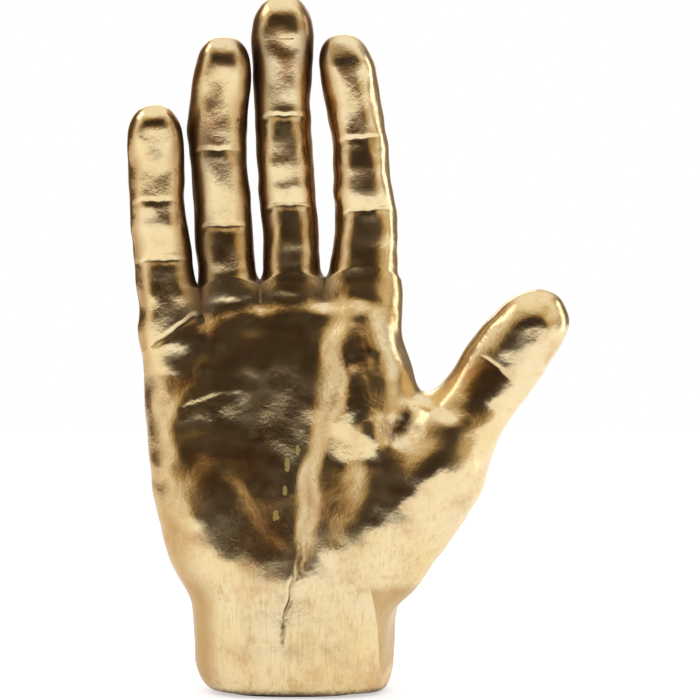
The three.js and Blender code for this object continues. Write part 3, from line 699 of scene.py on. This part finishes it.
def in_palm(point):
    """Whether a point belongs to the palm and its wrist."""
    return not (beyond_roots(point) or in_thumb(point))


trim(palm_mesh, FINGER_PLANES + [THUMB_PLANE, WEB_FACE], in_palm)
castings = [cast("palm_and_wrist_casting", palm_mesh, "palm_and_wrist")]

# The creases of each digit: distance along it, how far the line bows up, depth
FINGER_JOINTS = [
    [(37.5, 0.9, 0.9), (68.4, 0.7, 0.6)],
    [(41.8, 1.0, 1.0), (81.2, 0.6, 0.8)],
    [(48, 1.6, 1.1), (94.4, 0.8, 1.0)],
    [(45.6, 1.2, 0.7), (82.8, 0.7, 0.6)],
]
NAMES = ["little_finger", "ring_finger", "middle_finger", "index_finger"]
for place, (name, digit, joints) in enumerate(zip(NAMES, FINGERS, FINGER_JOINTS)):
    near = FINGERS[max(place - 1, 0) : place + 2]
    beside = [other for other in near if other is not digit]

    def apart(points):
        """The hand round this finger, up to halfway to its neighbours."""
        gap = digit.field(points) - reduce(np.minimum, [other.field(points) for other in beside])
        return np.maximum(hand(points, near, with_thumb=False), gap / 2 - 0.3)

    grid = digit_grid(digit, apart, sides=150, step=0.6, below=16)
    # painted shade on both sides of a finger, but none on the index finger's right side
    side_shade = (1, 0) if digit is index_finger else (1, 0.9)
    skin = raise_skin(grid, digit_relief(digit, joints))
    mesh = ring_mesh(name + "_skin", skin, beside, side_shade)
    trim(mesh, FINGER_PLANES[max(place - 1, 0) : place + 2], beyond_roots)
    castings.append(cast(name + "_casting", mesh, name))

grid = digit_grid(thumb, lambda points: hand(points, []), sides=190, step=0.65, below=6)
skin = raise_skin(grid, digit_relief(thumb, [(40, 0.8, 0.5)]))
mesh = ring_mesh("thumb_skin", skin, side_shade_weights=(0.4, 0))
trim(mesh, [THUMB_PLANE, WEB_FACE], in_thumb)
castings.append(cast("thumb_casting", mesh, "thumb"))


class Link:
    """A socket of a shader, which takes part in Python sums as a number does."""

    def __init__(self, graph, socket):
        self.graph, self.socket = graph, socket

    def __add__(self, other):
        return self.graph.maths("ADD", self, other)

    def __sub__(self, other):
        return self.graph.maths("SUBTRACT", self, other)

    def __rsub__(self, other):
        return self.graph.maths("SUBTRACT", other, self)

    def __mul__(self, other):
        return self.graph.maths("MULTIPLY", self, other)

    def __abs__(self):
        return self.graph.maths("ABSOLUTE", self)

    __radd__, __rmul__ = __add__, __mul__


class Graph:
    """The nodes of one material or of the world."""

    def __init__(self, owner):
        owner.use_nodes = True
        self.tree = owner.node_tree
        self.tree.nodes.clear()

    def node(self, kind, inputs, out=0, **settings):
        """A node of that type, with values or links for its sockets: one of its outputs."""
        made = self.tree.nodes.new("ShaderNode" + kind)
        for key, value in settings.items():
            setattr(made, key, value)
        for key, value in inputs.items():
            if isinstance(value, Link):
                self.tree.links.new(value.socket, made.inputs[key])
            else:
                made.inputs[key].default_value = value
        return Link(self, made.outputs[out])

    def maths(self, operation, *terms):
        """One sum of numbers or links."""
        return self.node("Math", dict(enumerate(terms)), operation=operation)

    def vector(self, operation, *terms, out=0):
        """One sum of vectors or links."""
        return self.node("VectorMath", dict(enumerate(terms)), out, operation=operation)

    def mix(self, factor, a, b):
        """Colour a where the factor is 0, and b where it is 1."""
        return self.node("Mix", {0: factor, 6: a, 7: b}, 2, data_type="RGBA")

    def step(self, value, low, high):
        """0 below low, 1 above high, smooth between."""
        ends = {"Value": value, "From Min": low, "From Max": high}
        return self.node("MapRange", ends, interpolation_type="SMOOTHSTEP")

    def place(self, stretch=(1, 1, 1)):
        """Object coordinates in millimetres, each divided by its stretch."""
        scale = [1 / (MILLIMETRE * part) for part in stretch]
        return self.vector("MULTIPLY", self.node("TexCoord", {}, "Object"), scale)

    def noise(self, place, wave, detail=2.0, roughness=0.5):
        """Noise of a wavelength in millimetres, near 0.5 on average."""
        settings = {"Vector": place, "Scale": 1 / wave, "Detail": detail, "Roughness": roughness}
        return self.node("TexNoise", settings)

    def bump(self, height):
        """A normal from heights in millimetres."""
        return self.node("Bump", {"Height": height, "Distance": MILLIMETRE, "Strength": 1.0})

    def finish(self, kind, inputs):
        """The shader of that type, joined to the material's output."""
        shader = self.node(kind, inputs)
        output = self.tree.nodes.new("ShaderNodeOutputMaterial")
        self.tree.links.new(shader.socket, output.inputs["Surface"])


# Colours of the leaf, in linear light: its patches, what is rubbed into or off it, and
# painted shade
PALE_LEAF = (0.89, 0.735, 0.455, 1)
WARM_LEAF = (0.86, 0.67, 0.36, 1)
MOTTLE = (0.74, 0.48, 0.19, 1)
RED_LEAF = (0.62, 0.34, 0.16, 1)
BLUSH = (0.6, 0.31, 0.13, 1)
# painted shade for the sides that face left or right
PAINTED_FLANK_SHADE = (0.42, 0.21, 0.055, 1)
# brown glaze for creases and webs, also the darker rim band and the painted shade between the fingers
BROWN_GLAZE_AND_SHADE = (0.13, 0.065, 0.026, 1)
# worn leaf on the wrist's flat, also used as painted shade on the wrist's little finger's side
WORN_AND_SHADED_LEAF = (0.5, 0.3, 0.11, 1)
CHIPPED_LEAF = (0.42, 0.30, 0.06, 1)
PINHOLE = (0.06, 0.03, 0.015, 1)
BRUSH_MARK = (0.6, 0.38, 0.15, 1)
SMUDGE = (0.55, 0.33, 0.12, 1)

# Oval places on the front, as x, z, width and height: reddish blushes, the web that is wiped
# clean of glaze, the crack at the end of the upright crease, and loose chips of leaf
BLUSHES = [(-14, 80, 44, 52), (56, 108, 30, 34), (96, 165, 26, 22), (-18, 120, 30, 40)]
CLEAN_WEB = [(66, 150, 34, 30)]
CRACK = [(-4, 35, 4.5, 22)]
CHIPS = [(3.2, 126.4, 2.2, 5), (-2.3, 118.7, 2.6, 7), (-3.4, 105.9, 2.4, 4.5), (-8, 93.2, 3.2, 5)]


def spots(g, place, ovals, raggedness, soft):
    """1 inside oval places and 0 outside: the distance from a middle in half sizes, made
    ragged by noise of that wavelength, falls off between soft and 1.05."""
    found = 0.0
    for x, z, wide, tall in ovals:
        away = g.vector("MULTIPLY", g.vector("SUBTRACT", place, (x, -20, z)), (2 / wide, 0.03, 2 / tall))
        ragged = g.vector("LENGTH", away, out="Value") + (g.noise(place, raggedness, 3.0) - 0.5) * 1.6
        found = g.maths("MAXIMUM", 1 - g.step(ragged, soft, 1.05), found)
    return found


def kept_value(g, kind):
    """A value that the castings' meshes keep at their points."""
    return g.node("Attribute", {}, "Fac", attribute_name=kind)


def laid_leaf(g, place):
    """Colour of the leaf: pale and warm patches, a fine mottle, red bole showing through in
    clouds and blushes, and painted shade on the sides that face left or right."""
    patches = g.step(g.noise(place, 38, 3.0, 0.6), 0.35, 0.65)
    mottle = g.step(g.noise(place, 4.5, 5.0, 0.65), 0.5, 0.8)
    red = g.step(g.noise(place, 30, 4.0, 0.65), 0.52, 0.72)
    streaks = g.noise(g.place((1, 1, 3)), 6, 4.0)
    colour = g.mix(patches, PALE_LEAF, WARM_LEAF)
    colour = g.mix(mottle * 0.6, colour, MOTTLE)
    colour = g.mix(red * 0.55, colour, RED_LEAF)
    colour = g.mix(spots(g, place, BLUSHES, 11, 0.3) * 0.6, colour, BLUSH)
    # painted shade: the sides turned left or right go darker brown, in streaks
    return g.mix(kept_value(g, "flank") * (0.45 + streaks * 0.6), colour, PAINTED_FLANK_SHADE)


def glaze_and_painted_shade(g, place, height_above, cloudy):
    """How much brown glazing is left in creases and webs and in the crack, a darker brown
    band along the bottom of the rim, and painted shade between the fingers."""
    glaze_and_shade = g.step(kept_value(g, "hollow") + cloudy * 0.25, 0.26, 0.8)
    glaze_and_shade = glaze_and_shade * (1 - spots(g, place, CLEAN_WEB, 5, 0.5))
    # darker brown along the lowest few millimetres of the rim
    edge = 1 - g.step(height_above + cloudy * 5, 3.8, 8)
    glaze_and_shade = g.maths("MAXIMUM", glaze_and_shade, spots(g, place, CRACK, 2.5, 0.1) * 0.8)
    # painted shade: darker brown where another finger stands close by
    return g.maths("MAXIMUM", g.maths("MAXIMUM", glaze_and_shade, edge * 0.95), kept_value(g, "neighbour_shade") * 0.9)


def worn_flat_and_shaded_side(g, place, height_above, cloudy):
    """How far the leaf is worn on the wrist's flat, with painted shade on its little finger's side."""
    toward_flat = (np.cos(FLAT_FACING), np.sin(FLAT_FACING), 0)
    across_flat = g.vector("DOT_PRODUCT", place, toward_flat, out="Value")
    flat = g.step(across_flat, FLAT_DISTANCE - 0.6, FLAT_DISTANCE - 0.1)
    flat = flat * (1 - g.step(height_above, FLAT_TOP - 4, FLAT_TOP + 2))
    aside = g.node("SeparateXYZ", {0: place})
    # painted shade: the wrist's little finger's side goes darker brown
    side = g.step(0 - aside + cloudy * 6, 37, 52) * (1 - g.step(height_above, 52, 66))
    return g.maths("MAXIMUM", flat * 0.75, side * 0.8) * (0.6 + g.noise(g.place((1, 1, 5)), 7, 4.0) * 0.7)


def gold_leaf():
    """Burnished leaf with its brown glazing, its worn wrist flat and painted shade between the
    fingers and on the sides, loose chips, pinholes, hairline scratches, upright brush marks
    and smudges on the lower hand, and a fine pebbled skin with hand-rubbed hollows."""
    material = bpy.data.materials.new("burnished_gold_leaf")
    g = Graph(material)
    place = g.place()
    height_above = g.node("SeparateXYZ", {0: place}, 2)
    low_hand = 1 - g.step(height_above, 70, 130)
    cloudy = g.noise(place, 2.2, 4.0, 0.6)
    glaze_and_shade = glaze_and_painted_shade(g, place, height_above, cloudy)
    chips = spots(g, place, CHIPS, 1.6, 0.8)
    pits = 1 - g.step(g.node("TexVoronoi", {"Vector": place, "Scale": 1 / 21}, "Distance"), 0.016, 0.028)
    strokes = g.noise(g.place((1, 1, 26)), 1.3, 2.0, 0.7)
    smudges = g.step(g.noise(g.place((1, 1, 1.7)), 9, 5.0, 0.7), 0.52, 0.7)
    # brown glaze in creases and webs, a darker band along the rim, and painted shade between the fingers
    colour = g.mix(glaze_and_shade, laid_leaf(g, place), BROWN_GLAZE_AND_SHADE)
    # worn leaf on the wrist's flat, and painted shade on its little finger's side
    colour = g.mix(worn_flat_and_shaded_side(g, place, height_above, cloudy), colour, WORN_AND_SHADED_LEAF)
    colour = g.mix(chips * 0.9, colour, CHIPPED_LEAF)
    colour = g.mix(pits, colour, PINHOLE)
    colour = g.mix(g.step(strokes, 0.5, 0.72) * low_hand * 0.4, colour, BRUSH_MARK)
    colour = g.mix(smudges * low_hand * 0.5, colour, SMUDGE)

    lines = abs(g.noise(g.place((1.3, 1.3, 0.8)), 26, 3.0) - 0.5)
    broken = g.step(g.noise(place, 11, 2.0), 0.56, 0.66)
    scratches = (1 - g.step(lines, 0.0, 0.006)) * broken
    pebble = g.noise(place, 1.1, 2.0, 0.6)
    grain = g.noise(place, 2.3, 3.0, 0.55)
    rubbed = g.noise(place, 9, 2.0, 0.5)
    height = pebble * 0.06 + grain * 0.08 + rubbed * 0.24
    height = height + strokes * low_hand * 0.02 - scratches * 0.03 - pits * 0.15 + chips * 0.05

    satin = g.step(g.noise(place, 16, 3.0, 0.6), 0.3, 0.75)
    roughness = 0.18 + satin * 0.08 + (grain - 0.5) * 0.08 + low_hand * 0.05 + glaze_and_shade * 0.15 + chips * 0.25
    g.finish("BsdfPrincipled", {
        "Base Color": colour,
        "Roughness": roughness,
        "Metallic": 1 - glaze_and_shade * 0.1 - chips * 0.7 - pits * 0.9,
        "Normal": g.bump(height),
    })
    return material


leaf = gold_leaf()
for casting in castings:
    casting.data.materials.append(leaf)


# The steel pins: one in each digit's root, glued into drilled holes to carry it.
# They are cut from drawn bar, with fine lines along the bar and a thin film of oil.
def pin_steel():
    material = bpy.data.materials.new("drawn_steel")
    g = Graph(material)
    place = g.place((1, 1, 30))
    drawn = g.noise(place, 0.5, 3.0)
    film = g.step(g.noise(g.place(), 9, 3.0), 0.4, 0.7)
    g.finish("BsdfPrincipled", {
        "Base Color": g.mix(film, (0.62, 0.63, 0.64, 1), (0.5, 0.48, 0.44, 1)),
        "Metallic": 1.0,
        "Roughness": 0.3 + drawn * 0.15,
        "Normal": g.bump(drawn * 0.01),
    })
    return material


def dress(nodes, material):
    """Gives the CAD nodes that stay as they are a better material."""
    for name in nodes:
        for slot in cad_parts[name].material_slots:
            slot.material = material


dress([name + "_pin" for name in NAMES + ["thumb"]], pin_steel())


# The plaster ballast: it fills the lower third of the hollow so that the hand doesn't tip.
# It is poured in through the hole in the closing plate and sets chalky, with air bubbles.
def poured_plaster():
    material = bpy.data.materials.new("poured_plaster")
    g = Graph(material)
    place = g.place()
    cloud = g.noise(place, 14, 4.0)
    bubbles = 1 - g.step(g.node("TexVoronoi", {"Vector": place, "Scale": 1 / 5}, "Distance"), 0.1, 0.2)
    g.finish("BsdfPrincipled", {
        "Base Color": g.mix(cloud, (0.84, 0.81, 0.74, 1), (0.72, 0.68, 0.6, 1)),
        "Roughness": 0.88 + cloud * 0.1,
        "Normal": g.bump(g.noise(place, 1.1, 4.0) * 0.1 - bubbles * 0.5),
    })
    return material


dress(["ballast"], poured_plaster())


# The closing plate: sealed hardboard glued into the pocket of the wrist's underside.
# It is cut to the pocket's outline and has one hole that the ballast is poured through.
def hardboard():
    material = bpy.data.materials.new("sealed_hardboard")
    g = Graph(material)
    fibres = g.noise(g.place((1.0, 5.0, 1.0)), 1.2, 5.0, 0.7)
    patches = g.noise(g.place(), 22, 3.0)
    g.finish("BsdfPrincipled", {
        "Base Color": g.mix(g.step(fibres + patches, 0.7, 1.3), (0.15, 0.09, 0.05, 1), (0.27, 0.18, 0.11, 1)),
        "Roughness": 0.55 + patches * 0.25,
        "Normal": g.bump(fibres * 0.06),
    })
    return material


dress(["closing_plate"], hardboard())


# The plug of the pour hole: a short taper of moulded black rubber, pressed in by hand.
def moulded_rubber():
    material = bpy.data.materials.new("moulded_rubber")
    g = Graph(material)
    bloom = g.step(g.noise(g.place(), 6, 4.0), 0.45, 0.75)
    g.finish("BsdfPrincipled", {
        "Base Color": g.mix(bloom, (0.028, 0.028, 0.029, 1), (0.055, 0.052, 0.05, 1)),
        "Roughness": 0.62 + bloom * 0.2,
        "Normal": g.bump(g.noise(g.place(), 0.5, 2.0) * 0.02),
    })
    return material


dress(["pour_hole_plug"], moulded_rubber())


# The pad under the wrist: black adhesive felt, die-cut to the wrist's outline.
# Its loose matted fibres show on the cut edge.
def black_felt():
    material = bpy.data.materials.new("black_felt")
    g = Graph(material)
    fibres = g.noise(g.place((1, 4, 1)), 0.6, 5.0, 0.75)
    across = g.noise(g.place((4, 1, 1)), 0.6, 5.0, 0.75)
    matted = g.maths("MAXIMUM", fibres, across)
    g.finish("BsdfPrincipled", {
        "Base Color": g.mix(g.step(matted, 0.45, 0.75), (0.012, 0.012, 0.011, 1), (0.06, 0.057, 0.052, 1)),
        "Roughness": 0.95 - matted * 0.1,
        "Sheen Weight": 0.3,
        "Sheen Roughness": 0.5,
        "Normal": g.bump(matted * 0.25),
    })
    return material


dress(["felt_pad"], black_felt())


# The studio: a white table top that ends not far in front of the hand, a dark room with a
# bronze edge in front, white screens with warm clutter round that, and dim walls far to the
# sides. The gold reflects the room where it faces the camera, and lamps stand at its sides.
def mirrored_ray(g):
    """1 for rays that have been mirrored or have passed through something clear."""
    glossy = g.node("LightPath", {}, "Is Glossy Ray")
    return g.maths("MAXIMUM", glossy, g.node("LightPath", {}, "Is Transmission Ray"))


def table_top():
    """A white top that the camera sees brighter than it is, and the gold a little less so."""
    material = bpy.data.materials.new("white_table")
    g = Graph(material)
    seen = g.maths("MAXIMUM", g.node("LightPath", {}, "Is Camera Ray"), mirrored_ray(g) * 0.72)
    speck = g.noise(g.place(), 3, 3.0)
    g.finish("BsdfPrincipled", {
        "Base Color": g.mix(speck, (0.82, 0.82, 0.82, 1), (0.8, 0.8, 0.8, 1)),
        "Roughness": 0.8,
        "Specular IOR Level": 0.0,
        "Emission Color": g.mix(seen, (0, 0, 0, 1), (1, 1, 1, 1)),
        "Emission Strength": 0.5,
    })
    return material


table_mesh = bpy.data.meshes.new("table_top")
table_mesh.from_pydata([(-3, -0.8, 0), (3, -0.8, 0), (3, 3, 0), (-3, 3, 0)], [], [(0, 1, 2, 3)])
table_mesh.materials.append(table_top())
table = bpy.data.objects.new("table_top", table_mesh)
bpy.context.collection.objects.link(table)

DARK_ROOM = (0.027, 0.014, 0.0045, 1)
BRONZE_EDGE = (0.21, 0.115, 0.035, 1)
BRONZE_FLOOR = (0.28, 0.14, 0.035, 1)
WARM_EDGE = (0.46, 0.32, 0.13, 1)
WHITE_SCREEN = (1.0, 1.0, 1.0, 1)
CLUTTER = (0.62, 0.47, 0.27, 1)
DIM_WALL = (0.085, 0.04, 0.011, 1)

# The dark room's half width and its height as seen from the hand, in degrees, and the power
# of its rounded outline
ROOM_HALF_WIDTH = 42
ROOM_HEIGHT = 40
ROOM_POWER = 2.6


def surrounding_room(w):
    """What the gold reflects, by the direction looked in. A direction's distance from the
    front is |turned / half width|^n + |rise / height|^n to the power 1 / n, and the room
    passes into bronze, warm light and the white screens as that distance grows."""
    direction = w.node("TexCoord", {}, "Generated")
    across, ahead, up = (w.node("SeparateXYZ", {0: direction}, axis) for axis in range(3))
    turned = w.maths("ARCTAN2", across, 0 - ahead) * (180 / np.pi)
    rise = w.maths("ARCSINE", up) * (180 / np.pi)
    wide = w.maths("POWER", abs(turned) * (1 / ROOM_HALF_WIDTH), ROOM_POWER)
    high = w.maths("POWER", w.maths("MAXIMUM", rise * (1 / ROOM_HEIGHT), 0.0), ROOM_POWER)
    off = w.maths("POWER", wide + high, 1 / ROOM_POWER)
    low = 1 - w.step(rise, -22, -4)
    bronze = w.mix(low, BRONZE_EDGE, BRONZE_FLOOR)
    room = w.mix(w.maths("MAXIMUM", w.step(off, 0.76, 1.0), low), DARK_ROOM, bronze)
    room = w.mix(w.step(off, 0.92, 1.12), room, WARM_EDGE)
    clutter = w.step(w.node("TexNoise", {"Vector": direction, "Scale": 3.2, "Detail": 2.0}), 0.42, 0.62)
    screens = w.mix(clutter * (1 - w.step(rise, 40, 65)), WHITE_SCREEN, CLUTTER)
    room = w.mix(w.step(off, 1.02, 1.45), room, screens)
    left_wall = w.step(0 - turned, 70, 92) * (1 - w.step(0 - turned, 140, 162))
    right_wall = w.step(turned, 68, 90) * (1 - w.step(turned, 146, 164))
    walls = w.maths("MAXIMUM", left_wall * 0.92, right_wall * 0.85) * (1 - w.step(rise, 30, 60))
    return w.mix(walls, room, DIM_WALL)


world = bpy.data.worlds.new("studio")
bpy.context.scene.world = world
w = Graph(world)
lit = w.mix(mirrored_ray(w), (0.75, 0.75, 0.75, 1), surrounding_room(w))
seen = w.mix(w.node("LightPath", {}, "Is Camera Ray"), lit, (1, 1, 1, 1))
shell = w.node("Background", {"Color": seen, "Strength": 1.0})
w.tree.links.new(shell.socket, w.tree.nodes.new("ShaderNodeOutputWorld").inputs["Surface"])


def soft_light(name, place, width, height, radiance, target=(0.02, 0, 0.18)):
    """A flat light turned to the hand: power = radiance times pi times area."""
    lamp = bpy.data.lights.new(name, "AREA")
    lamp.shape, lamp.size, lamp.size_y = "RECTANGLE", width, height
    lamp.energy = radiance * np.pi * width * height
    holder = bpy.data.objects.new(name, lamp)
    holder.location = place
    holder.rotation_euler = (Vector(target) - Vector(place)).to_track_quat("-Z", "Y").to_euler()
    bpy.context.collection.objects.link(holder)


soft_light("strip_light_right", (1.35, 0.15, 0.45), 0.4, 1.3, 1.8)
soft_light("soft_light_left", (-1.0, -0.1, 1.25), 0.6, 0.6, 2.0)
soft_light("soft_light_behind", (-0.2, 1.3, 1.1), 0.9, 0.6, 1.5)

# The camera looks straight ahead from in front of the hand, and takes in this width at the
# plane y = 0
CAMERA_PLACE = (0.0298, -0.950, 0.1775)
VIEW_WIDTH = 0.3661

lens = bpy.data.cameras.new("camera")
lens.sensor_width = 36
lens.lens = 36 * -CAMERA_PLACE[1] / VIEW_WIDTH
camera = bpy.data.objects.new("camera", lens)
camera.location = CAMERA_PLACE
camera.rotation_euler = (np.pi / 2, 0, 0)
bpy.context.collection.objects.link(camera)
bpy.context.scene.camera = camera
bpy.context.scene.view_settings.view_transform = "Standard"
